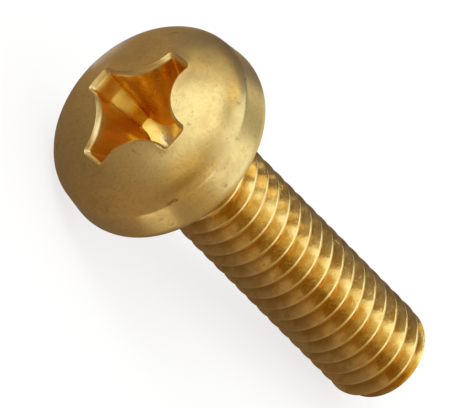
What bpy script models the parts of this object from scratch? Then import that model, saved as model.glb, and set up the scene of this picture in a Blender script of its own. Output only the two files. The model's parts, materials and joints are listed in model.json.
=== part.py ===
"""Pan head machine screw in brass, 1/4 inch with 20 threads to the inch and one inch long, in metres.

It is one solid: a low domed head with a cross recess, a short plain neck with a fillet under the head,
and a right-hand thread that runs to a chamfered flat end. It is modelled with its axis on Z, the bearing
face of the head at z = 0 and a wing of the recess on +X. An empty then lays it on its side, on the edge
of the head and the last full thread, which is how a loose screw comes to rest. There the origin is on
the surface that it lies on, under the middle of its length, with the head towards -X.
"""

import math

import bmesh
import bpy
from mathutils import Matrix, Vector

MM = 0.001
QUARTER_TURN = math.pi / 2
FULL_TURN = 2 * math.pi

# Head, with heights above its bearing face
HEAD_DIAMETER = 12.54 * MM
HEAD_HEIGHT = 4.43 * MM
HEAD_SIDE_HEIGHT = 2.38 * MM
HEAD_SIDE_LEAN = math.radians(5.6)
RIM_CORNER_RADIUS = 0.66 * MM
CROWN_SHOULDER_TURN = math.radians(10.3)

# Cross recess, with its span and wing width where it breaks through the crown
RECESS_SPAN = 7.32 * MM
WING_WIDTH = 1.36 * MM
WING_END_SLOPE = math.radians(26.5)
WING_SIDE_SLOPE = math.radians(5.75)
WING_ROOT_SHARE = 0.93
WING_FOOT_DEPTH = 3.86 * MM
RECESS_FLOOR_SLOPE = math.radians(28)
RECESS_EDGE = 0.08 * MM

# Shank and thread
SHANK_LENGTH = 25.30 * MM
THREAD_DIAMETER = 6.17 * MM
PITCH = 1.27 * MM
CREST_WIDTH = PITCH / 8
ROOT_WIDTH = PITCH / 4
FLANK_ANGLE = math.radians(30)
CREST_ON_X = 0.85 * MM
NECK_FILLET_RADIUS = 0.30 * MM
NECK_PLAIN_LENGTH = 0.15 * MM
RUN_OUT_LENGTH = 0.95 * MM
END_INSET = 0.11 * MM

# How finely the round forms are divided
SIDES = 48
CROWN_RINGS = 12
CORNER_STEPS = 6
FILLET_STEPS = 3
WING_ROOT_STEPS = 8
WELD_DISTANCE = 0.002 * MM

# What ends up on top when it lies, as a turn from +X: halfway along one of the sides
UP_TURN = 7.5 * FULL_TURN / SIDES
STEEPEST_REST = math.radians(30)

thread_radius = THREAD_DIAMETER / 2
thread_depth = (PITCH - CREST_WIDTH - ROOT_WIDTH) / 2 / math.tan(FLANK_ANGLE)
root_radius = thread_radius - thread_depth
neck_radius = thread_radius - thread_depth / 2
neck_end = -NECK_FILLET_RADIUS - NECK_PLAIN_LENGTH
end_chamfer = thread_depth + END_INSET
end_radius = thread_radius - end_chamfer
past_end = -SHANK_LENGTH - PITCH / 2

corner_centre = HEAD_DIAMETER / 2 - RIM_CORNER_RADIUS
side_foot_height = RIM_CORNER_RADIUS * (1 + math.sin(HEAD_SIDE_LEAN))
side_foot_radius = corner_centre + RIM_CORNER_RADIUS * math.cos(HEAD_SIDE_LEAN)
shoulder_radius = side_foot_radius - (HEAD_SIDE_HEIGHT - side_foot_height) * math.tan(HEAD_SIDE_LEAN)
crown_half_width = shoulder_radius / math.cos(CROWN_SHOULDER_TURN)
crown_rise = (HEAD_HEIGHT - HEAD_SIDE_HEIGHT) / (1 - math.sin(CROWN_SHOULDER_TURN))
crown_centre = HEAD_HEIGHT - crown_rise

# The thread's section: the four corners of one pitch, as rises from the middle of the crest
thread_corners = [
    (-CREST_WIDTH / 2, thread_radius),
    (CREST_WIDTH / 2, thread_radius),
    (PITCH / 2 - ROOT_WIDTH / 2, root_radius),
    (PITCH / 2 + ROOT_WIDTH / 2, root_radius),
]


def clear_scene():
    for old in list(bpy.data.objects):
        bpy.data.objects.remove(old, do_unlink=True)


def on_circle(radius, turn, height):
    return (radius * math.cos(turn), radius * math.sin(turn), height)


def ring(radius, height):
    return [on_circle(radius, FULL_TURN * side / SIDES, height) for side in range(SIDES)]


def new_object(name, points, faces):
    """A mesh object from points and faces, with every face turned outward."""
    mesh = bpy.data.meshes.new(name)
    mesh.from_pydata(points, [], faces)
    work = bmesh.new()
    work.from_mesh(mesh)
    bmesh.ops.recalc_face_normals(work, faces=work.faces)
    work.to_mesh(mesh)
    work.free()
    made = bpy.data.objects.new(name, mesh)
    bpy.context.collection.objects.link(made)
    return made


def loft(name, rings, foot, peak):
    """A closed form through rings of as many points each, from a point at its foot to one at its peak."""
    count = len(rings[0])
    points = [point for level in rings for point in level] + [foot, peak]
    foot_number, peak_number = len(points) - 2, len(points) - 1
    last_ring = foot_number - count
    faces = []
    for here in range(count):
        there = (here + 1) % count
        for start in range(0, last_ring, count):
            over = start + count
            faces.append([start + here, start + there, over + there, over + here])
        faces.append([foot_number, there, here])
        faces.append([peak_number, last_ring + here, last_ring + there])
    return new_object(name, points, faces)


def thread_line(number, turn):
    """Height and full radius at this turn of one line of the thread, which climbs a pitch each turn."""
    pitches, corner = divmod(number, len(thread_corners))
    rise, radius = thread_corners[corner]
    return -CREST_ON_X + PITCH * (pitches + turn / FULL_TURN) + rise, radius


def run_out(radius, height):
    """The thread's radius at a height: it swells out of the neck over the run-out's length."""
    share = min(max((neck_end - height) / RUN_OUT_LENGTH, 0.0), 1.0)
    share = share * share * (3 - 2 * share)
    return neck_radius + share * (radius - neck_radius)


def crown_height(radius):
    return crown_centre + crown_rise * math.sqrt(max(1 - (radius / crown_half_width) ** 2, 0))


def head_section():
    """Radius and height of each ring of the head: neck fillet, rim corner, side and crown."""
    section = []
    for step in range(FILLET_STEPS + 1):
        turn = QUARTER_TURN * step / FILLET_STEPS
        radius = neck_radius + NECK_FILLET_RADIUS * (1 - math.cos(turn))
        section.append((radius, -NECK_FILLET_RADIUS * (1 - math.sin(turn))))
    for step in range(CORNER_STEPS + 1):
        turn = (QUARTER_TURN + HEAD_SIDE_LEAN) * step / CORNER_STEPS
        radius = corner_centre + RIM_CORNER_RADIUS * math.sin(turn)
        section.append((radius, RIM_CORNER_RADIUS * (1 - math.cos(turn))))
    for step in range(CROWN_RINGS):
        turn = CROWN_SHOULDER_TURN + (QUARTER_TURN - CROWN_SHOULDER_TURN) * step / CROWN_RINGS
        radius = crown_half_width * math.cos(turn)
        section.append((radius, crown_height(radius)))
    return section


def screw_body():
    """Head, neck and thread as one closed surface, with the thread running on past the end.

    Every side has one column of points. The thread's lines run from column to column and come back to
    the first one a pitch higher, where each line meets the line that began a pitch above it.
    """
    lines_a_turn = len(thread_corners)
    lowest = 0
    while thread_line(lowest + lines_a_turn, 0.0)[0] > past_end:
        lowest -= 1
    highest = 0
    while thread_line(highest, 0.0)[0] < neck_end:
        highest += 1

    points = [(0.0, 0.0, past_end), (0.0, 0.0, HEAD_HEIGHT)]
    foot_number, peak_number = 0, 1
    threads = []
    heads = []
    for side in range(SIDES):
        turn = FULL_TURN * side / SIDES
        end_number = len(points)
        points.append(on_circle(root_radius, turn, past_end))
        neck_number = len(points)
        points.append(on_circle(neck_radius, turn, neck_end))
        thread = {}
        for number in range(lowest, highest + 1):
            height, radius = thread_line(number, turn)
            if height <= past_end:
                thread[number] = end_number
            elif height >= neck_end:
                thread[number] = neck_number
            else:
                thread[number] = len(points)
                points.append(on_circle(run_out(radius, height), turn, height))
        head = [neck_number]
        for radius, height in head_section():
            head.append(len(points))
            points.append(on_circle(radius, turn, height))
        threads.append(thread)
        heads.append(head)

    faces = []
    for side in range(SIDES):
        beside = (side + 1) % SIDES
        climb = lines_a_turn if beside == 0 else 0
        here, there = threads[side], threads[beside]
        for number in range(lowest, highest):
            low, high = (min(number + climb + more, highest) for more in (0, 1))
            corners = list(dict.fromkeys([here[number], there[low], there[high], here[number + 1]]))
            if len(corners) > 2:
                faces.append(corners)
        faces.append([foot_number, there[lowest], here[lowest]])
        here, there = heads[side], heads[beside]
        for level in range(len(here) - 1):
            faces.append([here[level], there[level], there[level + 1], here[level + 1]])
        faces.append([peak_number, here[-1], there[-1]])
    return new_object("machine_screw", points, faces)


def end_cutter():
    """What the chamfer and the flat end take off the thread."""
    flare = end_radius + thread_radius
    foot_height = past_end - PITCH
    rings = [
        ring(flare, foot_height),
        ring(flare, flare - end_radius - SHANK_LENGTH),
        ring(end_radius, -SHANK_LENGTH),
    ]
    return loft("end_cutter", rings, (0.0, 0.0, foot_height), (0.0, 0.0, -SHANK_LENGTH))


def recess_outline(height, grow=0.0):
    """Distance and turn of each corner of the cross at a height, with its sides moved out by grow.

    Its wings end on a circle and are joined by wide arcs that bulge inward.
    """
    sunk = crown_height(RECESS_SPAN / 2) - height
    reach = RECESS_SPAN / 2 - sunk * math.tan(WING_END_SLOPE)
    half_width = WING_WIDTH / 2 - sunk * math.tan(WING_SIDE_SLOPE)
    root = WING_ROOT_SHARE * (reach - half_width)
    arc_centre = half_width + root
    reach += grow
    half_width += grow
    tip = math.asin(half_width / reach)
    outline = []
    for wing in range(4):
        facing = QUARTER_TURN * wing
        outline += [(reach, facing + share * tip) for share in (-1, 0, 1)]
        for step in range(WING_ROOT_STEPS + 1):
            turn = QUARTER_TURN * step / WING_ROOT_STEPS
            along = arc_centre - (root - grow) * math.sin(turn)
            across = arc_centre - (root - grow) * math.cos(turn)
            outline.append((math.hypot(along, across), facing + math.atan2(across, along)))
    return outline


def recess_ring(over_crown, grow):
    """The cross's outline laid on the crown, or this far over it."""
    laid = []
    for number, (distance, _) in enumerate(recess_outline(crown_height(RECESS_SPAN / 2))):
        height = crown_height(distance) + over_crown
        laid.append(on_circle(*recess_outline(height, grow)[number], height))
    return laid


def recess_cutter():
    """The punch that forms the recess: a tapering cross with a conical floor and a small edge chamfer."""
    foot_height = HEAD_HEIGHT - WING_FOOT_DEPTH
    foot_outline = recess_outline(foot_height)
    point_height = foot_height - foot_outline[0][0] * math.tan(RECESS_FLOOR_SLOPE)
    over_crown = WING_WIDTH / 2
    rings = [
        [
            on_circle(distance, turn, point_height + distance * math.tan(RECESS_FLOOR_SLOPE))
            for distance, turn in foot_outline
        ],
        recess_ring(-RECESS_EDGE, 0.0),
        recess_ring(over_crown, over_crown + RECESS_EDGE),
    ]
    peak = (0.0, 0.0, HEAD_HEIGHT + 2 * over_crown)
    return loft("recess_cutter", rings, (0.0, 0.0, point_height), peak)


def cut(body, cutter):
    """Take the cutter's shape out of the body."""
    step = body.modifiers.new(cutter.name, "BOOLEAN")
    step.operation = "DIFFERENCE"
    step.solver = "EXACT"
    step.object = cutter
    cutter.hide_render = True
    cutter.display_type = "WIRE"


def weld(body):
    """Join the points that a cut leaves almost in one place."""
    step = body.modifiers.new("weld", "WELD")
    step.merge_threshold = WELD_DISTANCE


def resting_place(points):
    """The turn and move that lay the screw down, so that its head and its thread both touch the surface."""
    on_side = Matrix.Rotation(-QUARTER_TURN, 4, "Y") @ Matrix.Rotation(-UP_TURN, 4, "Z")
    laid = [on_side @ point for point in points]
    head = [point for point in laid if point.x < 0]
    shank = [point for point in laid if point.x > 0]

    def reach_down(group, tilt):
        return max(point.x * math.sin(tilt) - point.z * math.cos(tilt) for point in group)

    level, steep = 0.0, STEEPEST_REST
    for _ in range(50):
        tilt = (level + steep) / 2
        if reach_down(head, tilt) > reach_down(shank, tilt):
            level = tilt
        else:
            steep = tilt
    tilted = Matrix.Rotation(tilt, 4, "Y")
    along = [(tilted @ point).x for point in laid]
    to_middle = Vector((-(min(along) + max(along)) / 2, 0.0, reach_down(head, tilt)))
    return Matrix.Translation(to_middle) @ tilted @ on_side


def brass():
    material = bpy.data.materials.new("brass")
    material.use_nodes = True
    shader = material.node_tree.nodes["Principled BSDF"]
    shader.inputs["Base Color"].default_value = (0.62, 0.42, 0.13, 1.0)
    shader.inputs["Metallic"].default_value = 1.0
    shader.inputs["Roughness"].default_value = 0.32
    return material


clear_scene()
screw = screw_body()
screw.data.materials.append(brass())
screw.data.shade_smooth()
screw.data.set_sharp_from_angle(angle=math.radians(35))
recess = recess_cutter()
end = end_cutter()
cut(screw, recess)
cut(screw, end)
weld(screw)

above_chamfer = [vertex.co for vertex in screw.data.vertices if vertex.co.z > end_chamfer - SHANK_LENGTH]
end_edge = [Vector(point) for point in ring(end_radius, -SHANK_LENGTH)]
lying = bpy.data.objects.new("lying", None)
bpy.context.collection.objects.link(lying)
lying.matrix_world = resting_place(above_chamfer + end_edge)
for item in (screw, recess, end):
    item.parent = lying
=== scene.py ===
"""Brass pan head machine screw: its finished surface, and the studio that it lies in.

The screw is modelled upright, with its axis on Z, the bearing face of its head at z = 0 and its thread
below. It is then laid where the record's mount on its threaded end says.
"""

import json
import math

import bmesh
import bpy
from mathutils import Matrix, Vector, kdtree


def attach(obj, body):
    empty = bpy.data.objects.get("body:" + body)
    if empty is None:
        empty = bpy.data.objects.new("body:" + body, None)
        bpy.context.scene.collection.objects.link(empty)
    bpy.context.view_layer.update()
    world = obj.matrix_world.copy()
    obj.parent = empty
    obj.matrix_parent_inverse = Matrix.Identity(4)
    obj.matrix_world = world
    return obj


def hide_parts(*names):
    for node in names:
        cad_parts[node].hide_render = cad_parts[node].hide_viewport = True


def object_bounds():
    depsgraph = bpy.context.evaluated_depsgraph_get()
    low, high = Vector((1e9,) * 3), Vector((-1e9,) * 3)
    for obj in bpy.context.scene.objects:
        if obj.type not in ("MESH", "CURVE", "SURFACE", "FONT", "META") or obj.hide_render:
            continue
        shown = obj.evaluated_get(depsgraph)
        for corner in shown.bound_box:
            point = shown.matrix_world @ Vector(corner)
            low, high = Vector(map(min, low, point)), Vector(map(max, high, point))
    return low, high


bl_info = {
    "name": "Brass machine screw",
    "version": (1, 0, 0),
    "blender": (4, 5, 0),
    "location": "3D View > Sidebar > Screw",
    "description": "Makes a pan head machine screw in satin brass, and a studio for it",
    "category": "Add Mesh",
}

MM = 0.001
FULL_TURN = 2 * math.pi
QUARTER_TURN = math.pi / 2
NODE = "machine_screw"
SHARP_EDGE = math.radians(38)
HEAD_STEPS = 288
SHANK_STEPS = 144
WELD = 0.001 * MM
FINE_WELD = 0.0002 * MM
SLIVER = 0.0005 * MM
ON_PLANE = 0.00001 * MM
UP = Vector((0.0, 0.0, 1.0))
CARD_DISTANCE = 300 * MM
SCREW_MIDDLE = Vector((0.0, 0.0, 6.0)) * MM

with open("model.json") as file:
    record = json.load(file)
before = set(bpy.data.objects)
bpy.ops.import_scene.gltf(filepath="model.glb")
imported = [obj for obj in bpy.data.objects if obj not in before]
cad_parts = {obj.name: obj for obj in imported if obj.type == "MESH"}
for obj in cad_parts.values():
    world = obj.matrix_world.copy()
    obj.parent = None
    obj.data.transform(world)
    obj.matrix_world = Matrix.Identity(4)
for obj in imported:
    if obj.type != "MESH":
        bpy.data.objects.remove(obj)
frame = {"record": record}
cad_box = [list(corner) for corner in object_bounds()]
cad_width = cad_box[1][1] - cad_box[0][1]


class ScrewSizes(bpy.types.PropertyGroup):
    """The screw's own sizes, with heights above the bearing face of its head."""

    head_diameter: bpy.props.FloatProperty(
        name="Head diameter", description="Across the widest part of the head", default=cad_width, unit="LENGTH"
    )
    head_height: bpy.props.FloatProperty(
        name="Head height", description="From the bearing face to the top of the crown",
        default=4.43 * MM, unit="LENGTH",
    )
    side_height: bpy.props.FloatProperty(
        name="Side height", description="Where the head's side meets its crown",
        default=2.38 * MM, unit="LENGTH",
    )
    side_lean: bpy.props.FloatProperty(
        name="Side lean", description="How far the head's side leans inward",
        default=math.radians(5.6), subtype="ANGLE",
    )
    rim_radius: bpy.props.FloatProperty(
        name="Rim radius", description="Rounding at the foot of the head's side",
        default=0.66 * MM, unit="LENGTH",
    )
    shoulder_turn: bpy.props.FloatProperty(
        name="Shoulder turn", description="Where on its ellipse the crown begins",
        default=math.radians(10.3), subtype="ANGLE",
    )
    shoulder_round: bpy.props.FloatProperty(
        name="Shoulder rounding", description="Softening between side and crown",
        default=0.09 * MM, unit="LENGTH",
    )
    recess_span: bpy.props.FloatProperty(
        name="Recess span", description="Across two opposite wings at the crown",
        default=7.32 * MM, unit="LENGTH",
    )
    wing_width: bpy.props.FloatProperty(
        name="Wing width", description="Width of a wing at the crown", default=1.36 * MM, unit="LENGTH"
    )
    wing_corner: bpy.props.FloatProperty(
        name="Wing corner", description="Rounding of the corners of a wing's end",
        default=0.16 * MM, unit="LENGTH",
    )
    wing_end_slope: bpy.props.FloatProperty(
        name="Wing end slope", description="Slope of a wing's end from the axis",
        default=math.radians(26.5), subtype="ANGLE",
    )
    wing_side_slope: bpy.props.FloatProperty(
        name="Wing side slope", description="Slope of a wing's sides from the axis",
        default=math.radians(5.75), subtype="ANGLE",
    )
    wing_root_share: bpy.props.FloatProperty(
        name="Wing root", description="Radius between two wings, as a share of a wing's length",
        default=0.93, min=0.0, max=1.0, subtype="FACTOR",
    )
    recess_depth: bpy.props.FloatProperty(
        name="Recess depth", description="From the top of the crown to the foot of the wings",
        default=3.86 * MM, unit="LENGTH",
    )
    floor_slope: bpy.props.FloatProperty(
        name="Floor slope", description="Slope of the recess's floor towards its point",
        default=math.radians(28), subtype="ANGLE",
    )
    end_wear: bpy.props.FloatProperty(
        name="End wear", description="How far a wing's end swells and sinks along its slope",
        default=0.11 * MM, unit="LENGTH",
    )
    lip_radius: bpy.props.FloatProperty(
        name="Lip radius", description="Rounding of the recess's edge", default=0.33 * MM, unit="LENGTH"
    )
    lip_rise: bpy.props.FloatProperty(
        name="Lip rise", description="How far the punch raised the recess's edge",
        default=0.04 * MM, unit="LENGTH",
    )
    lip_width: bpy.props.FloatProperty(
        name="Lip width", description="How far the raised edge reaches over the crown",
        default=0.34 * MM, unit="LENGTH",
    )
    nick_turn: bpy.props.FloatProperty(
        name="Nick turn", description="Turn from a wing to the nick in the shoulder",
        default=math.radians(-26.8), subtype="ANGLE",
    )
    nick_length: bpy.props.FloatProperty(
        name="Nick length", description="Along the shoulder", default=0.95 * MM, unit="LENGTH"
    )
    nick_depth: bpy.props.FloatProperty(
        name="Nick depth", description="Into the shoulder", default=0.085 * MM, unit="LENGTH"
    )
    shank_length: bpy.props.FloatProperty(
        name="Shank length", description="From the bearing face to the threaded end",
        default=25.30 * MM, unit="LENGTH",
    )
    thread_diameter: bpy.props.FloatProperty(
        name="Thread diameter", description="Across the crests of the thread", default=6.155 * MM, unit="LENGTH"
    )
    pitch: bpy.props.FloatProperty(
        name="Pitch", description="From crest to crest, 20 to the inch", default=1.27 * MM, unit="LENGTH"
    )
    thread_depth: bpy.props.FloatProperty(
        name="Thread depth", description="From crest to root", default=0.687 * MM, unit="LENGTH"
    )
    crest_start: bpy.props.FloatProperty(
        name="Crest start", description="First crest below the bearing face, in line with a wing",
        default=0.85 * MM, unit="LENGTH",
    )
    neck_fillet: bpy.props.FloatProperty(
        name="Neck fillet", description="Rounding between neck and bearing face",
        default=0.30 * MM, unit="LENGTH",
    )
    neck_length: bpy.props.FloatProperty(
        name="Neck length", description="From the bearing face to the start of the thread",
        default=0.45 * MM, unit="LENGTH",
    )
    run_out: bpy.props.FloatProperty(
        name="Run-out", description="Length over which the thread swells out of the neck",
        default=0.95 * MM, unit="LENGTH",
    )
    end_inset: bpy.props.FloatProperty(
        name="End inset", description="How far the end's edge lies inside the thread's root",
        default=0.11 * MM, unit="LENGTH",
    )
    up_turn: bpy.props.FloatProperty(
        name="Up turn", description="Turn from a wing to what lies on top",
        default=math.radians(56.25), subtype="ANGLE",
    )


class BrassFinish(bpy.types.PropertyGroup):
    """The colours and the gloss of the brass."""

    bright: bpy.props.FloatVectorProperty(
        name="Bright brass", description="Clean metal", subtype="COLOR", size=3, default=(0.86, 0.60, 0.23)
    )
    dull: bpy.props.FloatVectorProperty(
        name="Dull brass", description="Slightly tarnished metal",
        subtype="COLOR", size=3, default=(0.62, 0.42, 0.16),
    )
    stain: bpy.props.FloatVectorProperty(
        name="Stain", description="Brown specks and pits", subtype="COLOR", size=3, default=(0.28, 0.17, 0.06)
    )
    olive: bpy.props.FloatVectorProperty(
        name="Olive brass", description="Yellower patches", subtype="COLOR", size=3, default=(0.74, 0.58, 0.24)
    )
    thread_tone: bpy.props.FloatVectorProperty(
        name="Thread brass", description="The rolled thread's crests",
        subtype="COLOR", size=3, default=(0.90, 0.62, 0.21),
    )
    # Painted shade with some tarnish: this darker brass stands in for the shade in the thread's roots, and it
    # also tints random dark patches on the thread.
    root_shade_and_tarnish: bpy.props.FloatVectorProperty(
        name="Root brass", description="The darker tone in the thread's roots",
        subtype="COLOR", size=3, default=(0.63, 0.34, 0.06),
    )
    head_roughness: bpy.props.FloatProperty(
        name="Head roughness", description="How matt the tumbled head is",
        default=0.32, min=0.0, max=1.0, subtype="FACTOR",
    )
    thread_roughness: bpy.props.FloatProperty(
        name="Thread roughness", description="How matt the rolled thread is",
        default=0.14, min=0.0, max=1.0, subtype="FACTOR",
    )
    # Painted highlight, partly wear: pale metal on the thread's crests and the recess's lips, where thin bright
    # lines of reflected light run.
    wear_and_highlight: bpy.props.FloatVectorProperty(
        name="Wear and highlight on edges", description="Pale metal on crests and lips",
        subtype="COLOR", size=3, default=(0.95, 0.77, 0.43),
    )
    recess_tone: bpy.props.FloatVectorProperty(
        name="Recess brass", description="The punched recess's deeper tone",
        subtype="COLOR", size=3, default=(0.84, 0.50, 0.10),
    )
    recess_amber: bpy.props.FloatVectorProperty(
        name="Recess amber", description="Yellower patches in the recess",
        subtype="COLOR", size=3, default=(0.90, 0.62, 0.14),
    )
    recess_roughness: bpy.props.FloatProperty(
        name="Recess roughness", description="How matt the punched recess is",
        default=0.27, min=0.0, max=1.0, subtype="FACTOR",
    )


class StudioSettings(bpy.types.PropertyGroup):
    """The floor, the lamps and the camera."""

    floor_colour: bpy.props.FloatVectorProperty(
        name="Floor", description="Pale floor", subtype="COLOR", size=3, default=(0.94, 0.94, 0.94)
    )
    front_shade: bpy.props.FloatVectorProperty(
        name="Tent in front", description="Dim warm side of the tent",
        subtype="COLOR", size=3, default=(0.46, 0.37, 0.18),
    )
    behind_shade: bpy.props.FloatVectorProperty(
        name="Tent behind", description="Dim grey side of the tent",
        subtype="COLOR", size=3, default=(0.17, 0.15, 0.18),
    )
    table_shade: bpy.props.FloatVectorProperty(
        name="Table", description="What the metal sees of the table",
        subtype="COLOR", size=3, default=(0.35, 0.26, 0.17),
    )
    under_shade: bpy.props.FloatVectorProperty(
        name="Under the screw", description="The table in the screw's shadow",
        subtype="COLOR", size=3, default=(0.17, 0.13, 0.11),
    )
    patch_shade: bpy.props.FloatVectorProperty(
        name="Table patch", description="Light that falls on the table behind the head",
        subtype="COLOR", size=3, default=(0.56, 0.56, 0.70),
    )
    key_shade: bpy.props.FloatVectorProperty(
        name="Key lamp", description="The large soft lamp by the head",
        subtype="COLOR", size=3, default=(1.52, 1.69, 1.82),
    )
    edge_shade: bpy.props.FloatVectorProperty(
        name="Lamp edge", description="The soft edge of the large lamp",
        subtype="COLOR", size=3, default=(0.82, 0.77, 0.48),
    )
    top_shade: bpy.props.FloatVectorProperty(
        name="Top lamps", description="The soft lamps overhead",
        subtype="COLOR", size=3, default=(1.25, 1.39, 1.52),
    )
    front_lamp_shade: bpy.props.FloatVectorProperty(
        name="Front lamp", description="The small soft lamp in front",
        subtype="COLOR", size=3, default=(1.25, 1.12, 0.86),
    )
    warm_shade: bpy.props.FloatVectorProperty(
        name="Warm card", description="The warm card beside the large lamp",
        subtype="COLOR", size=3, default=(0.79, 0.65, 0.31),
    )
    dark_shade: bpy.props.FloatVectorProperty(
        name="Dark card", description="The dark card under the camera",
        subtype="COLOR", size=3, default=(0.22, 0.12, 0.02),
    )
    crown_shade: bpy.props.FloatVectorProperty(
        name="Card by the crown", description="The small card behind the crown",
        subtype="COLOR", size=3, default=(0.80, 0.76, 0.60),
    )
    shoulder_shade: bpy.props.FloatVectorProperty(
        name="Card by the shoulder", description="The small card above the shoulder",
        subtype="COLOR", size=3, default=(1.15, 1.05, 0.72),
    )
    side_shade: bpy.props.FloatVectorProperty(
        name="Card by the side", description="The small card in front of the head's side",
        subtype="COLOR", size=3, default=(0.86, 0.80, 0.63),
    )
    back_shade: bpy.props.FloatVectorProperty(
        name="Back card", description="The grey card behind the screw",
        subtype="COLOR", size=3, default=(0.82, 0.79, 0.63),
    )
    aim: bpy.props.FloatVectorProperty(
        name="Aim", description="Point that the camera looks at", subtype="TRANSLATION", size=3,
        default=(-6.8065 * MM, -3.1235 * MM, 7.6827 * MM),
    )
    azimuth: bpy.props.FloatProperty(
        name="Azimuth", description="Camera's place round the screw",
        default=math.radians(-49.269), subtype="ANGLE",
    )
    elevation: bpy.props.FloatProperty(
        name="Elevation", description="Camera's height as an angle",
        default=math.radians(24.596), subtype="ANGLE",
    )
    roll: bpy.props.FloatProperty(
        name="Roll", description="Camera's turn about its line of sight",
        default=math.radians(62.189), subtype="ANGLE",
    )
    distance: bpy.props.FloatProperty(
        name="Distance", description="From the aim to the camera", default=845.77 * MM, unit="LENGTH"
    )
    lens: bpy.props.FloatProperty(
        name="Lens", description="Focal length in millimetres", default=1156.21, unit="CAMERA"
    )


def new_piece(name, work):
    mesh = bpy.data.meshes.new(name)
    work.to_mesh(mesh)
    work.free()
    piece = bpy.data.objects.new(name, mesh)
    bpy.context.scene.collection.objects.link(piece)
    return piece


def line_of(work, points):
    """A line of edges through points given as distance from the axis and height."""
    made = [work.verts.new((distance, 0.0, height)) for distance, height in points]
    for pair in zip(made, made[1:]):
        work.edges.new(pair)
    return made


def round_corner(work, corner, size, steps):
    """Round one corner of a line of edges."""
    bmesh.ops.bevel(
        work,
        geom=[corner],
        offset=size,
        offset_type="OFFSET",
        segments=steps,
        profile=0.5,
        affect="VERTICES",
        material=-1,
    )


def turn_full(work, steps):
    """Turn a line of edges into a round form about Z, with its poles closed."""
    bmesh.ops.spin(
        work,
        geom=work.verts[:] + work.edges[:],
        cent=(0.0, 0.0, 0.0),
        axis=(0.0, 0.0, 1.0),
        angle=FULL_TURN,
        steps=steps,
        use_merge=True,
    )
    bmesh.ops.remove_doubles(work, verts=work.verts, dist=FINE_WELD)


class HeadForm:
    """The lines that the head's section is made of."""

    def __init__(self, sizes):
        rim = sizes.rim_radius
        lean = sizes.side_lean
        foot_height = rim * (1 + math.sin(lean))
        foot_radius = sizes.head_diameter / 2 - rim + rim * math.cos(lean)
        self.corner_radius = foot_radius + foot_height * math.tan(lean)
        self.rim_reach = rim * math.tan((QUARTER_TURN + lean) / 2)
        self.shoulder_radius = foot_radius - (sizes.side_height - foot_height) * math.tan(lean)
        self.half_width = self.shoulder_radius / math.cos(sizes.shoulder_turn)
        self.rise = (sizes.head_height - sizes.side_height) / (1 - math.sin(sizes.shoulder_turn))
        self.centre = sizes.head_height - self.rise

    def crown_height(self, distance):
        return self.centre + self.rise * math.sqrt(max(1 - (distance / self.half_width) ** 2, 0.0))


def recess_outline(sizes, form, height, grow=0.0):
    """Points round the cross at a height, with its sides moved out by grow."""
    sunk = form.crown_height(sizes.recess_span / 2) - height
    reach = sizes.recess_span / 2 - sunk * math.tan(sizes.wing_end_slope)
    half_width = sizes.wing_width / 2 - sunk * math.tan(sizes.wing_side_slope)
    root = sizes.wing_root_share * (reach - half_width)
    arc_centre = half_width + root
    reach += grow
    half_width += grow
    corner = sizes.wing_corner + grow
    corner_steps = 4
    root_steps = 20
    end = math.sqrt(reach**2 - (half_width - corner) ** 2)
    wing = []
    for side in (-1, 1):
        for step in range(corner_steps + 1):
            turn = QUARTER_TURN * step / corner_steps
            turn = turn if side > 0 else QUARTER_TURN - turn
            along = end - corner + corner * math.cos(turn)
            across = half_width - corner + corner * math.sin(turn)
            wing.append((along, side * across))
    for step in range(1, root_steps):
        turn = QUARTER_TURN * step / root_steps
        wing.append((arc_centre - (root - grow) * math.sin(turn), arc_centre - (root - grow) * math.cos(turn)))
    outline = []
    for number in range(4):
        turn = Matrix.Rotation(QUARTER_TURN * number, 2)
        outline += [turn @ Vector(point) for point in wing]
    return outline


def lip_height(sizes, away):
    """How far the punched edge stands over the crown at this distance from the cross."""
    return sizes.lip_rise * math.exp(-((away / sizes.lip_width) ** 2))


def make_head(work, sizes, form):
    """The head as a turned form: neck, fillet, bearing face, rim, side and crown."""
    neck_radius = (sizes.thread_diameter - sizes.thread_depth) / 2
    lips_from = 1.8 * MM
    lips_to = sizes.recess_span / 2 + 3 * sizes.lip_width
    lip_gap, crown_gap, at_pole = 0.07 * MM, 0.16 * MM, 0.05 * MM
    rings = [form.shoulder_radius]
    while rings[-1] > at_pole:
        rings.append(rings[-1] - (lip_gap if lips_from < rings[-1] < lips_to else crown_gap))
    rings[-1] = 0.0
    crown = [(distance, form.crown_height(distance)) for distance in rings]
    past_rim, below_shoulder = 0.12 * MM, 0.25 * MM
    side_low = form.rim_reach + past_rim
    side_high = sizes.side_height - below_shoulder
    points = [
        (neck_radius, -sizes.neck_length),
        (neck_radius, 0.0),
        (form.corner_radius, 0.0),
        (form.corner_radius - side_low * math.tan(sizes.side_lean), side_low),
        (form.corner_radius - side_high * math.tan(sizes.side_lean), side_high),
    ] + crown
    line = line_of(work, points)
    neck_corner, rim_corner, shoulder_corner = line[1], line[2], line[5]
    round_corner(work, neck_corner, sizes.neck_fillet, 5)
    round_corner(work, rim_corner, form.rim_reach, 12)
    round_corner(work, shoulder_corner, sizes.shoulder_round, 3)
    turn_full(work, HEAD_STEPS)

    outline = recess_outline(sizes, form, form.crown_height(sizes.recess_span / 2))
    parts = 12
    edge = kdtree.KDTree(parts * len(outline))
    for number, (here, there) in enumerate(zip(outline, outline[1:] + outline[:1])):
        for part in range(parts):
            edge.insert(here.lerp(there, part / parts).to_3d(), parts * number + part)
    edge.balance()
    for vert in work.verts:
        distance = math.hypot(vert.co.x, vert.co.y)
        if vert.co.z > sizes.side_height and distance < lips_to:
            away = edge.find((vert.co.x, vert.co.y, 0.0))[2]
            vert.co.z += lip_height(sizes, away)


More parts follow.
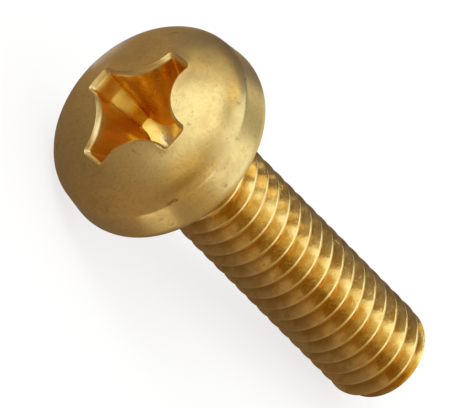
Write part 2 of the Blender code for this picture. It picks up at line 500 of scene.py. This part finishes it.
def make_thread(work, sizes):
    """The thread: one turn of its section, copied down the shank and run out into the neck."""
    crest = sizes.thread_diameter / 2
    root = crest - sizes.thread_depth
    half_crest = sizes.pitch / 16
    half_root = sizes.pitch / 8
    half_pitch = sizes.pitch / 2
    root_round, crest_round = 0.12 * MM, 0.06 * MM
    line = line_of(
        work,
        [
            (root, -half_pitch),
            (root, half_root - half_pitch),
            (crest, -half_crest),
            (crest, half_crest),
            (root, half_pitch - half_root),
            (root, half_pitch),
        ],
    )
    for corner in (line[1], line[4]):
        round_corner(work, corner, root_round, 3)
    for corner in (line[2], line[3]):
        round_corner(work, corner, crest_round, 2)
    bmesh.ops.translate(work, verts=work.verts, vec=(0.0, 0.0, sizes.pitch - sizes.crest_start))
    bmesh.ops.spin(
        work,
        geom=work.verts[:] + work.edges[:],
        cent=(0.0, 0.0, 0.0),
        axis=(0.0, 0.0, 1.0),
        dvec=(0.0, 0.0, sizes.pitch / SHANK_STEPS),
        angle=FULL_TURN,
        steps=SHANK_STEPS,
        use_merge=False,
    )
    turn = work.verts[:] + work.edges[:] + work.faces[:]
    spare_turns = 3
    for number in range(1, math.ceil(sizes.shank_length / sizes.pitch) + spare_turns):
        copied = bmesh.ops.duplicate(work, geom=turn)["geom"]
        fresh = [item for item in copied if isinstance(item, bmesh.types.BMVert)]
        bmesh.ops.translate(work, verts=fresh, vec=(0.0, 0.0, -sizes.pitch * number))
    bmesh.ops.remove_doubles(work, verts=work.verts, dist=WELD)

    neck_radius = crest - sizes.thread_depth / 2
    for vert in work.verts:
        share = min(max((-sizes.neck_length - vert.co.z) / sizes.run_out, 0.0), 1.0)
        share = share * share * (3 - 2 * share)
        radius = math.hypot(vert.co.x, vert.co.y)
        wanted = neck_radius + share * (radius - neck_radius)
        vert.co.x *= wanted / radius
        vert.co.y *= wanted / radius

    gap_to_neck = 0.03 * MM
    bmesh.ops.bisect_plane(
        work,
        geom=work.verts[:] + work.edges[:] + work.faces[:],
        dist=ON_PLANE,
        plane_co=(0.0, 0.0, -sizes.neck_length - gap_to_neck),
        plane_no=(0.0, 0.0, 1.0),
        clear_outer=True,
    )
    cut = bmesh.ops.bisect_plane(
        work,
        geom=work.verts[:] + work.edges[:] + work.faces[:],
        dist=ON_PLANE,
        plane_co=(0.0, 0.0, -sizes.shank_length),
        plane_no=(0.0, 0.0, 1.0),
        clear_inner=True,
    )
    rim = [item for item in cut["geom_cut"] if isinstance(item, bmesh.types.BMEdge)]
    bmesh.ops.contextual_create(work, geom=rim)


def join_forms(screw, head):
    """Bring head and thread together in one mesh, and close the ring between them."""
    work = bmesh.new()
    work.from_mesh(screw.data)
    work.from_mesh(head.data)
    bpy.data.objects.remove(head)
    open_edges = [edge for edge in work.edges if edge.is_boundary]
    bmesh.ops.bridge_loops(work, edges=open_edges)
    bmesh.ops.recalc_face_normals(work, faces=work.faces)
    work.to_mesh(screw.data)
    work.free()


def raise_loop(work, loop):
    """Extrude a closed line of points, and give the new points in the same order."""
    edges = [work.edges.get(pair) for pair in zip(loop, loop[1:] + loop[:1])]
    raised = set(bmesh.ops.extrude_edge_only(work, edges=edges)["geom"])
    return [
        next(edge.other_vert(vert) for edge in vert.link_edges if edge.other_vert(vert) in raised)
        for vert in loop
    ]


def wing_end_wear(share):
    """How a wing end, changed by wear, leaves its slope, from foot (0) to lip (1): it sinks, swells out and
    comes back.
    """
    hollow, swell = 0.28, 0.66
    sunk, swollen = -0.8, 1.2
    if share < hollow:
        return sunk * share / hollow
    if share < swell:
        return sunk + (swollen - sunk) * (share - hollow) / (swell - hollow)
    return swollen * (1 - share) / (1 - swell)


def make_recess_punch(sizes, form):
    """The shape that the recess is cut with: conical floor, wing ends changed by wear and an edge that flares
    out.
    """
    floor_height = sizes.head_height - sizes.recess_depth
    brim = form.crown_height(sizes.recess_span / 2)
    at_brim = recess_outline(sizes, form, brim)
    at_foot = recess_outline(sizes, form, floor_height)
    fall = math.tan(sizes.floor_slope)
    widest = max(point.length for point in at_foot)
    work = bmesh.new()
    feet = [Vector((point.x, point.y, floor_height - (widest - point.length) * fall)) for point in at_foot]
    loop = [work.verts.new(foot) for foot in feet]
    base = work.faces.new(loop)

    def over_crown(number, over, grow):
        height = form.crown_height(at_brim[number].length) + lip_height(sizes, 0.0) + over
        point = recess_outline(sizes, form, height, grow)[number]
        return Vector((point.x, point.y, height))

    lips = [over_crown(number, -sizes.lip_radius, 0.0) for number in range(len(loop))]
    wing_end = 0.95 * sizes.recess_span / 2
    wall_levels = (0.10, 0.19, 0.26, 0.30, 0.38, 0.47, 0.56, 0.64, 0.68, 0.79, 0.90)
    for share in wall_levels:
        wear = wing_end_wear(share) * sizes.end_wear
        loop = raise_loop(work, loop)
        for number, vert in enumerate(loop):
            vert.co = feet[number].lerp(lips[number], share)
            if at_brim[number].length > wing_end:
                vert.co += Vector((vert.co.x, vert.co.y, 0.0)).normalized() * wear
    lip_turn, lip_steps = math.radians(75), 5
    levels = []
    for step in range(lip_steps + 1):
        turn = lip_turn * step / lip_steps
        levels.append((sizes.lip_radius * (math.sin(turn) - 1), sizes.lip_radius * (1 - math.cos(turn))))
    over, out = levels[-1]
    flare, flare_rise, clear = 0.5 * MM, 0.18 * MM, 1.5 * MM
    levels.append((over + flare_rise, out + flare))
    levels.append((over + clear, out + flare))
    for over, grow in levels:
        loop = raise_loop(work, loop)
        for number, vert in enumerate(loop):
            vert.co = over_crown(number, over, grow)
    work.faces.new(loop)
    point = bmesh.ops.poke(work, faces=[base])["verts"][0]
    point.co = (0.0, 0.0, floor_height - widest * fall)
    bmesh.ops.recalc_face_normals(work, faces=work.faces)
    return new_piece("recess_punch", work)


def nick_form(sizes, form):
    """Turns a round ball of size one into the nick in the shoulder, where it lies."""
    inward, upward = 0.02 * MM, 0.12 * MM
    lean, stretch = math.radians(-40), 1.1
    place = Vector((form.shoulder_radius - inward, 0.0, sizes.side_height + upward))
    tilt = Matrix.Rotation(lean, 4, "Y")
    shape = Matrix.Diagonal((sizes.nick_depth, sizes.nick_length / 2, stretch * sizes.nick_depth, 1.0))
    return Matrix.Rotation(sizes.nick_turn, 4, "Z") @ Matrix.Translation(place) @ tilt @ shape


def make_nick(sizes, form):
    """The shallow nick that something hard has left in the shoulder."""
    work = bmesh.new()
    bmesh.ops.create_icosphere(work, subdivisions=3, radius=1.0)
    bmesh.ops.transform(work, verts=work.verts, matrix=nick_form(sizes, form))
    return new_piece("nick", work)


def make_end_ring(sizes):
    """The ring that the end's chamfer is cut with."""
    crest = sizes.thread_diameter / 2
    end_radius = crest - sizes.thread_depth - sizes.end_inset
    spare = 1.0 * MM
    inner = end_radius - spare
    wide = crest + spare
    foot = -sizes.shank_length - spare
    work = bmesh.new()
    line = line_of(work, [(inner, foot), (wide, foot), (wide, -sizes.shank_length + wide - end_radius)])
    work.edges.new((line[-1], line[0]))
    turn_full(work, SHANK_STEPS)
    bmesh.ops.recalc_face_normals(work, faces=work.faces)
    return new_piece("end_ring", work)


def take_off(piece, tool):
    """Cut the tool's shape out of the piece, and apply the cut."""
    step = piece.modifiers.new(tool.name, "BOOLEAN")
    step.operation = "DIFFERENCE"
    step.solver = "EXACT"
    step.object = tool
    shaped = bpy.data.meshes.new_from_object(piece.evaluated_get(bpy.context.evaluated_depsgraph_get()))
    piece.modifiers.clear()
    piece.data = shaped
    bpy.data.objects.remove(tool)


def mark_surface(screw, sizes, form):
    """Point attributes for the finish: in the recess, on the thread, near its crests and in the nick."""
    crest = sizes.thread_diameter / 2
    fully_inside, below_head, nick_reach = 0.6 * MM, -0.2 * MM, 1.05
    into_nick = nick_form(sizes, form).inverted()
    inside, threaded, crests, nicked = [], [], [], []
    for vert in screw.data.vertices:
        distance = math.hypot(vert.co.x, vert.co.y)
        over_recess = vert.co.z > 0 and distance < sizes.recess_span / 2
        sunk = form.crown_height(distance) - vert.co.z if over_recess else 0.0
        inside.append(min(max(sunk / fully_inside, 0.0), 1.0))
        on_thread = vert.co.z < below_head
        threaded.append(1.0 if on_thread else 0.0)
        crests.append(min(max((distance - crest) / sizes.thread_depth + 1.0, 0.0), 1.0) if on_thread else 0.0)
        nicked.append(1.0 if (into_nick @ vert.co).length < nick_reach else 0.0)
    marks = {"inside_recess": inside, "on_thread": threaded, "on_crest": crests, "in_nick": nicked}
    for name, values in marks.items():
        layer = screw.data.attributes.new(name, "FLOAT", "POINT")
        layer.data.foreach_set("value", values)


def resting_place(sizes):
    """Where the screw lies: its threaded end and axis are the record's, and its roll is its own."""
    mount = next(item for item in frame["record"]["mounts"] if item["name"] == "end_face")
    to_tip = Vector(mount["axis"]).normalized()
    axis = -to_tip
    upward = (Vector((0.0, 0.0, 1.0)) - axis * axis.z).normalized()
    across = axis.cross(upward)
    laid = Matrix((upward, across, axis)).transposed().to_4x4()
    move = Matrix.Translation(Vector(mount["pos_m"]) - to_tip * sizes.shank_length)
    return move @ laid @ Matrix.Rotation(-sizes.up_turn, 4, "Z")


class Nodes:
    """A short way to add and join the nodes of one material."""

    def __init__(self, name):
        self.material = bpy.data.materials.new(name)
        self.material.use_nodes = True
        self.tree = self.material.node_tree
        self.shader = self.tree.nodes["Principled BSDF"]

    def add(self, kind, inputs=None, **settings):
        node = self.tree.nodes.new(kind)
        for name, value in settings.items():
            setattr(node, name, value)
        for name, value in (inputs or {}).items():
            self.feed(node.inputs[name], value)
        return node

    def feed(self, socket, value):
        if isinstance(value, bpy.types.NodeSocket):
            self.tree.links.new(value, socket)
        else:
            socket.default_value = value

    def noise(self, place, scale, detail, roughness, distortion=0.0):
        sizes = {"Scale": scale, "Detail": detail, "Roughness": roughness, "Distortion": distortion}
        return self.add("ShaderNodeTexNoise", {"Vector": place, **sizes}).outputs["Fac"]

    def ramp(self, value, low, high, first=0.0, last=1.0):
        return self.add(
            "ShaderNodeMapRange",
            {"Value": value, "From Min": low, "From Max": high, "To Min": first, "To Max": last},
            interpolation_type="SMOOTHSTEP",
        ).outputs["Result"]

    def mix(self, share, first, second):
        colour_a, colour_b, mixed = 6, 7, 2
        node = self.add("ShaderNodeMix", data_type="RGBA")
        self.feed(node.inputs["Factor"], share)
        self.feed(node.inputs[colour_a], first)
        self.feed(node.inputs[colour_b], second)
        return node.outputs[mixed]

    def maths(self, operation, first, second=0.0):
        node = self.add("ShaderNodeMath", operation=operation)
        self.feed(node.inputs[0], first)
        self.feed(node.inputs[1], second)
        return node.outputs["Value"]

    def attribute(self, name):
        return self.add("ShaderNodeAttribute", attribute_name=name).outputs["Fac"]

    def surface(self, shader):
        self.tree.links.new(shader, self.tree.nodes["Material Output"].inputs["Surface"])


def colour(value):
    return (*value, 1.0)


def satin_brass(finish):
    """Tumbled brass: mottled in tone and gloss, with specks and fine pits, painted shade with some tarnish in
    the thread's roots, and a painted highlight with some wear on the crests and the recess's lips.
    """
    nodes = Nodes("satin_brass")
    place = nodes.add("ShaderNodeTexCoord").outputs["Object"]
    inside = nodes.attribute("inside_recess")
    threaded = nodes.attribute("on_thread")
    crests = nodes.attribute("on_crest")

    # Noise scales are waves to the metre, so the clouds are some 2.4 mm wide and the specks 0.14 mm.
    clouds = nodes.noise(place, 420.0, 4.0, 0.6)
    grain = nodes.noise(place, 5200.0, 3.0, 0.6)
    specks = nodes.noise(place, 7000.0, 2.0, 0.5)
    waves = nodes.noise(place, 700.0, 1.0, 0.4)
    drift = nodes.noise(place, 190.0, 3.0, 0.55)
    pits = nodes.noise(place, 1700.0, 3.0, 0.6, 0.6)
    patches = nodes.noise(place, 1300.0, 3.0, 0.6)

    tone = nodes.mix(nodes.ramp(clouds, 0.35, 0.68), colour(finish.bright), colour(finish.dull))
    tone = nodes.mix(nodes.ramp(drift, 0.38, 0.62, 0.0, 0.7), tone, colour(finish.olive))
    tone = nodes.mix(nodes.ramp(grain, 0.46, 0.70, 0.0, 0.55), tone, colour(finish.dull))
    tone = nodes.mix(nodes.ramp(specks, 0.66, 0.74, 0.0, 0.5), tone, colour(finish.stain))
    tone = nodes.mix(nodes.ramp(pits, 0.66, 0.72, 0.0, 0.45), tone, colour(finish.stain))
    # Painted shade: the thread goes from its crest tone to the darker root tone towards the roots, where shade
    # falls, and cloud noise varies where the change lies. The patches that follow are random tone.
    depth = nodes.maths("ADD", crests, nodes.ramp(clouds, 0.3, 0.7, -0.25, 0.25))
    groove_with_painted_shade = nodes.mix(nodes.ramp(depth, 0.1, 0.8), colour(finish.root_shade_and_tarnish), colour(finish.thread_tone))
    groove_with_painted_shade = nodes.mix(nodes.ramp(patches, 0.44, 0.62, 0.0, 0.5), groove_with_painted_shade, colour(finish.root_shade_and_tarnish))
    groove_with_painted_shade = nodes.mix(nodes.ramp(patches, 0.40, 0.26, 0.0, 0.35), groove_with_painted_shade, colour(finish.olive))
    tone = nodes.mix(threaded, tone, groove_with_painted_shade)
    grime = nodes.maths("MULTIPLY", nodes.attribute("in_nick"), nodes.ramp(grain, 0.3, 0.6, 0.25, 0.8))
    tone = nodes.mix(grime, tone, colour(finish.stain))
    deep = nodes.mix(nodes.ramp(waves, 0.46, 0.6), colour(finish.recess_tone), colour(finish.recess_amber))
    tone = nodes.mix(inside, tone, deep)
    # Painted highlight, partly wear: the crests and a band just inside the recess's edge are mixed towards pale
    # metal.
    lips = nodes.maths("MULTIPLY", nodes.ramp(inside, 0.0, 0.12), nodes.ramp(inside, 0.35, 0.6, 1.0, 0.0))
    wear_and_highlight = nodes.maths("MAXIMUM", nodes.ramp(crests, 0.9, 1.0, 0.0, 0.3), nodes.maths("MULTIPLY", lips, 0.6))
    tone = nodes.mix(wear_and_highlight, tone, colour(finish.wear_and_highlight))
    nodes.feed(nodes.shader.inputs["Base Color"], tone)

    rough = nodes.ramp(threaded, 0.0, 1.0, finish.head_roughness, finish.thread_roughness)
    recess_change = finish.recess_roughness - finish.head_roughness
    rough = nodes.maths("ADD", rough, nodes.ramp(inside, 0.0, 1.0, 0.0, recess_change))
    rough = nodes.maths("ADD", rough, nodes.ramp(clouds, 0.3, 0.7, -0.03, 0.05))
    rough = nodes.maths("ADD", rough, nodes.ramp(crests, 0.9, 1.0, 0.0, 0.06))
    nodes.feed(nodes.shader.inputs["Roughness"], rough)
    nodes.shader.inputs["Metallic"].default_value = 1.0

    outside = nodes.maths("SUBTRACT", 1.0, inside)
    fine = nodes.maths("MULTIPLY", grain, 0.8)
    fine = nodes.maths("SUBTRACT", fine, nodes.ramp(specks, 0.64, 0.74, 0.0, 0.5))
    fine = nodes.maths("SUBTRACT", fine, nodes.ramp(pits, 0.64, 0.74, 0.0, 0.8))
    bumps = nodes.maths("MULTIPLY", nodes.maths("ADD", fine, nodes.maths("MULTIPLY", clouds, 1.2)), outside)
    bumps = nodes.maths("ADD", bumps, nodes.maths("MULTIPLY", nodes.maths("MULTIPLY", waves, inside), 6.0))
    bump = nodes.add("ShaderNodeBump", {"Height": bumps, "Strength": 0.3, "Distance": 0.02 * MM})
    nodes.feed(nodes.shader.inputs["Normal"], bump.outputs["Normal"])
    return nodes.material


class MESH_OT_machine_screw(bpy.types.Operator):
    """Make the screw: head, neck, thread, cross recess and chamfered end, in satin brass"""

    bl_idname = "mesh.machine_screw"
    bl_label = "Machine screw"

    def execute(self, context):
        sizes = context.scene.screw_sizes
        form = HeadForm(sizes)
        work = bmesh.new()
        make_head(work, sizes, form)
        head = new_piece("head", work)
        work = bmesh.new()
        make_thread(work, sizes)
        screw = new_piece("screw", work)
        join_forms(screw, head)
        take_off(screw, make_recess_punch(sizes, form))
        take_off(screw, make_end_ring(sizes))
        take_off(screw, make_nick(sizes, form))

        work = bmesh.new()
        work.from_mesh(screw.data)
        bmesh.ops.remove_doubles(work, verts=work.verts, dist=WELD)
        bmesh.ops.dissolve_degenerate(work, edges=work.edges, dist=SLIVER)
        work.to_mesh(screw.data)
        work.free()

        mark_surface(screw, sizes, form)
        screw.data.transform(resting_place(sizes))
        screw.data.shade_smooth()
        screw.data.set_sharp_from_angle(angle=SHARP_EDGE)
        screw.data.materials.clear()
        screw.data.materials.append(satin_brass(context.scene.brass_finish))
        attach(screw, "root")
        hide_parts(NODE)
        return {"FINISHED"}


def studio_place(azimuth, elevation, distance, target):
    """A point at this distance from the target: azimuth 0 is towards -Y and a quarter turn is towards +X."""
    flat = math.cos(elevation)
    toward = Vector((math.sin(azimuth) * flat, -math.cos(azimuth) * flat, math.sin(elevation)))
    return target + toward * distance, toward


def give_off(nodes, shade):
    """Let a material give off light in one shade, or in what its nodes give."""
    nodes.tree.nodes.remove(nodes.shader)
    nodes.surface(nodes.add("ShaderNodeEmission", {"Color": shade}).outputs["Emission"])
    return nodes.material


def plain_glow(name, shade):
    return give_off(Nodes(name), colour(shade))


def graded_glow(name, near, far, start, reach, along=None, spread=(1.0, 1.0, 1.0)):
    """Light that goes from one shade to another along a direction or out from the origin."""
    nodes = Nodes(name)
    place = nodes.add("ShaderNodeTexCoord").outputs["Object"]
    if along:
        measure = nodes.add("ShaderNodeVectorMath", operation="DOT_PRODUCT")
        nodes.feed(measure.inputs[1], along)
    else:
        measure = nodes.add("ShaderNodeVectorMath", operation="LENGTH")
        scaled = nodes.add("ShaderNodeVectorMath", operation="MULTIPLY")
        nodes.feed(scaled.inputs[0], place)
        nodes.feed(scaled.inputs[1], spread)
        place = scaled.outputs["Vector"]
    nodes.feed(measure.inputs[0], place)
    share = nodes.ramp(measure.outputs["Value"], start, reach)
    return give_off(nodes, nodes.mix(share, colour(near), colour(far)))


def plane_piece(name, width, height, where, toward):
    """A flat card that faces along toward, with its place in its mesh."""
    work = bmesh.new()
    bmesh.ops.create_grid(work, x_segments=1, y_segments=1, size=0.5)
    bmesh.ops.scale(work, verts=work.verts, vec=(width, height, 1.0))
    turn = toward.to_track_quat("Z", "Y").to_matrix().to_4x4()
    bmesh.ops.transform(work, verts=work.verts, matrix=Matrix.Translation(where) @ turn)
    return new_piece(name, work)


def only_for_metal(card):
    """Keep a card out of everything but the metal's reflections."""
    card.visible_camera = False
    card.visible_diffuse = False
    card.visible_shadow = False
    card.visible_transmission = False


def angled_card(name, azimuth, elevation, width, height, shade, distance=CARD_DISTANCE, middle=SCREW_MIDDLE):
    """A plain card at these angles round a middle, turned to face it, that only the metal sees."""
    where, toward = studio_place(math.radians(azimuth), math.radians(elevation), distance, middle)
    card = plane_piece(name, width, height, where, -toward)
    card.data.materials.append(plain_glow(name, shade))
    only_for_metal(card)


def make_floor(studio):
    """The pale floor: mostly plain white to the camera and to reflections, and it keeps the shadow."""
    size, whiteness = 8.0, 0.75
    floor = plane_piece("floor", size, size, Vector((0.0, 0.0, 0.0)), UP)
    nodes = Nodes("pale_floor")
    nodes.shader.inputs["Base Color"].default_value = colour(studio.floor_colour)
    nodes.shader.inputs["Roughness"].default_value = 0.9
    rays = nodes.add("ShaderNodeLightPath").outputs
    seen = nodes.maths("MAXIMUM", rays["Is Camera Ray"], rays["Is Glossy Ray"])
    seen = nodes.maths("MAXIMUM", seen, rays["Is Transmission Ray"])
    white = nodes.add("ShaderNodeEmission", {"Strength": 1.0})
    blend = nodes.add("ShaderNodeMixShader", {"Fac": nodes.maths("MULTIPLY", seen, whiteness)})
    nodes.feed(blend.inputs[1], nodes.shader.outputs["BSDF"])
    nodes.feed(blend.inputs[2], white.outputs["Emission"])
    nodes.surface(blend.outputs["Shader"])
    floor.data.materials.append(nodes.material)


def make_tent_and_table(studio):
    """The dim tent round the screw and the table under it, as the metal sees them."""
    radius, shade_from, shade_to, backwards = 0.6, -0.3, 0.4, (0.4, 0.9, 0.1)
    work = bmesh.new()
    bmesh.ops.create_uvsphere(work, u_segments=48, v_segments=24, radius=radius)
    tent = new_piece("tent", work)
    tent.data.materials.append(
        graded_glow(
            "tent_shade", studio.front_shade, studio.behind_shade, shade_from, shade_to, along=backwards
        )
    )
    only_for_metal(tent)

    table = plane_piece("table_card", 1.0, 1.0, Vector((0.0, 0.0, 0.2 * MM)), UP)
    shadow_from, shadow_to, shadow_shape = 2 * MM, 14 * MM, (0.4, 1.0, 1.0)
    table.data.materials.append(
        graded_glow(
            "table_shade", studio.under_shade, studio.table_shade, shadow_from, shadow_to, spread=shadow_shape
        )
    )
    only_for_metal(table)

    patch = plane_piece("table_patch", 10.0 * MM, 8.0 * MM, Vector((-9.0, 14.5, 0.4)) * MM, UP)
    patch.data.materials.append(plain_glow("patch_shade", studio.patch_shade))
    only_for_metal(patch)


def make_cards(studio):
    """The cards that stand for the lamps and the dim places of the room."""
    for name, azimuth, elevation, width, height, shade in (
        ("key_card", -107.0, 19.0, 0.22, 0.25, studio.key_shade),
        ("key_top_card", -105.0, 37.0, 0.15, 0.06, studio.key_shade),
        ("key_edge_card", -140.0, 24.0, 0.08, 0.19, studio.edge_shade),
        ("top_card", 20.0, 80.0, 0.34, 0.34, studio.top_shade),
        ("left_card", -67.0, 51.0, 0.15, 0.10, studio.top_shade),
        ("right_card", 44.0, 40.0, 0.33, 0.19, studio.top_shade),
        ("warm_card", -73.0, 24.0, 0.10, 0.24, studio.warm_shade),
        ("dark_card", -46.0, 10.0, 0.13, 0.13, studio.dark_shade),
        ("front_card", -18.0, 40.0, 0.09, 0.08, studio.front_lamp_shade),
        ("back_card", 99.0, 20.0, 0.36, 0.24, studio.back_shade),
    ):
        angled_card(name, azimuth, elevation, width, height, shade)

    crown = Vector((-14.0, 3.0, 9.0)) * MM
    angled_card("crown_card", -150.0, 38.0, 17.0 * MM, 15.0 * MM, studio.crown_shade, 35.0 * MM, crown)
    shoulder = Vector((-12.6, -0.8, 12.1)) * MM
    angled_card("shoulder_card", -141.0, 57.0, 7.2 * MM, 6.4 * MM, studio.shoulder_shade, 14.0 * MM, shoulder)
    by_side = Vector((-10.65, -10.25, 3.05)) * MM
    side = plane_piece("side_card", 3.9 * MM, 4.5 * MM, by_side, Vector((-0.545, 0.84, 0.0)))
    side.data.materials.append(plain_glow("side_card", studio.side_shade))
    only_for_metal(side)


def make_world(scene):
    world = bpy.data.worlds.new("studio")
    scene.world = world
    world.use_nodes = True
    back = world.node_tree.nodes["Background"]
    back.inputs["Color"].default_value = (1.0, 1.0, 1.0, 1.0)
    back.inputs["Strength"].default_value = 0.95


def turn_to(item, place):
    """Stand a lamp or a camera where it looks back along the line that it was placed on."""
    where, toward = place
    item.location = where
    item.rotation_mode = "QUATERNION"
    item.rotation_quaternion = toward.to_track_quat("Z", "Y")
    return toward


def make_top_lamp(scene):
    """The soft lamp that gives the screw its shadow."""
    lamp = bpy.data.lights.new("top_lamp", "AREA")
    lamp.shape = "DISK"
    lamp.size = 0.25
    lamp.energy = 0.6
    top = bpy.data.objects.new("top_lamp", lamp)
    azimuth, elevation, distance = math.radians(-115), math.radians(50), 0.5
    turn_to(top, studio_place(azimuth, elevation, distance, Vector((0.0, 0.0, 0.0))))
    top.visible_camera = False
    top.visible_glossy = False
    scene.collection.objects.link(top)


def make_camera(scene, studio):
    """The camera, where the photo was taken from."""
    data = bpy.data.cameras.new("camera")
    data.sensor_width = 36.0
    data.lens = studio.lens
    data.clip_start = 0.1
    data.clip_end = 10.0
    camera = bpy.data.objects.new("camera", data)
    scene.collection.objects.link(camera)
    place = studio_place(studio.azimuth, studio.elevation, studio.distance, Vector(studio.aim))
    toward = turn_to(camera, place)
    roll = Matrix.Rotation(studio.roll, 3, toward).to_quaternion()
    camera.rotation_quaternion = roll @ toward.to_track_quat("Z", "Y")
    scene.camera = camera


class SCENE_OT_screw_studio(bpy.types.Operator):
    """Make the pale floor, the soft lamps, the cards that the metal reflects, and the camera"""

    bl_idname = "scene.screw_studio"
    bl_label = "Studio"

    def execute(self, context):
        scene = context.scene
        studio = scene.screw_studio
        make_floor(studio)
        make_tent_and_table(studio)
        make_cards(studio)
        make_world(scene)
        make_top_lamp(scene)
        make_camera(scene, studio)
        scene.view_settings.view_transform = "Standard"
        return {"FINISHED"}


class VIEW3D_PT_machine_screw(bpy.types.Panel):
    """The sizes, the finish and the studio of the screw, and what makes them"""

    bl_label = "Machine screw"
    bl_space_type = "VIEW_3D"
    bl_region_type = "UI"
    bl_category = "Screw"

    def draw(self, context):
        for made, settings in (
            (MESH_OT_machine_screw, (context.scene.screw_sizes, context.scene.brass_finish)),
            (SCENE_OT_screw_studio, (context.scene.screw_studio,)),
        ):
            box = self.layout.box()
            box.operator(made.bl_idname)
            for group in settings:
                for name in group.__annotations__:
                    box.prop(group, name)


CLASSES = (
    ScrewSizes,
    BrassFinish,
    StudioSettings,
    MESH_OT_machine_screw,
    SCENE_OT_screw_studio,
    VIEW3D_PT_machine_screw,
)


def register():
    for item in CLASSES:
        bpy.utils.register_class(item)
    bpy.types.Scene.screw_sizes = bpy.props.PointerProperty(type=ScrewSizes)
    bpy.types.Scene.brass_finish = bpy.props.PointerProperty(type=BrassFinish)
    bpy.types.Scene.screw_studio = bpy.props.PointerProperty(type=StudioSettings)


def unregister():
    del bpy.types.Scene.screw_studio
    del bpy.types.Scene.brass_finish
    del bpy.types.Scene.screw_sizes
    for item in reversed(CLASSES):
        bpy.utils.unregister_class(item)


def main():
    register()
    bpy.ops.mesh.machine_screw()
    bpy.ops.scene.screw_studio()


if __name__ == "__main__":
    main()
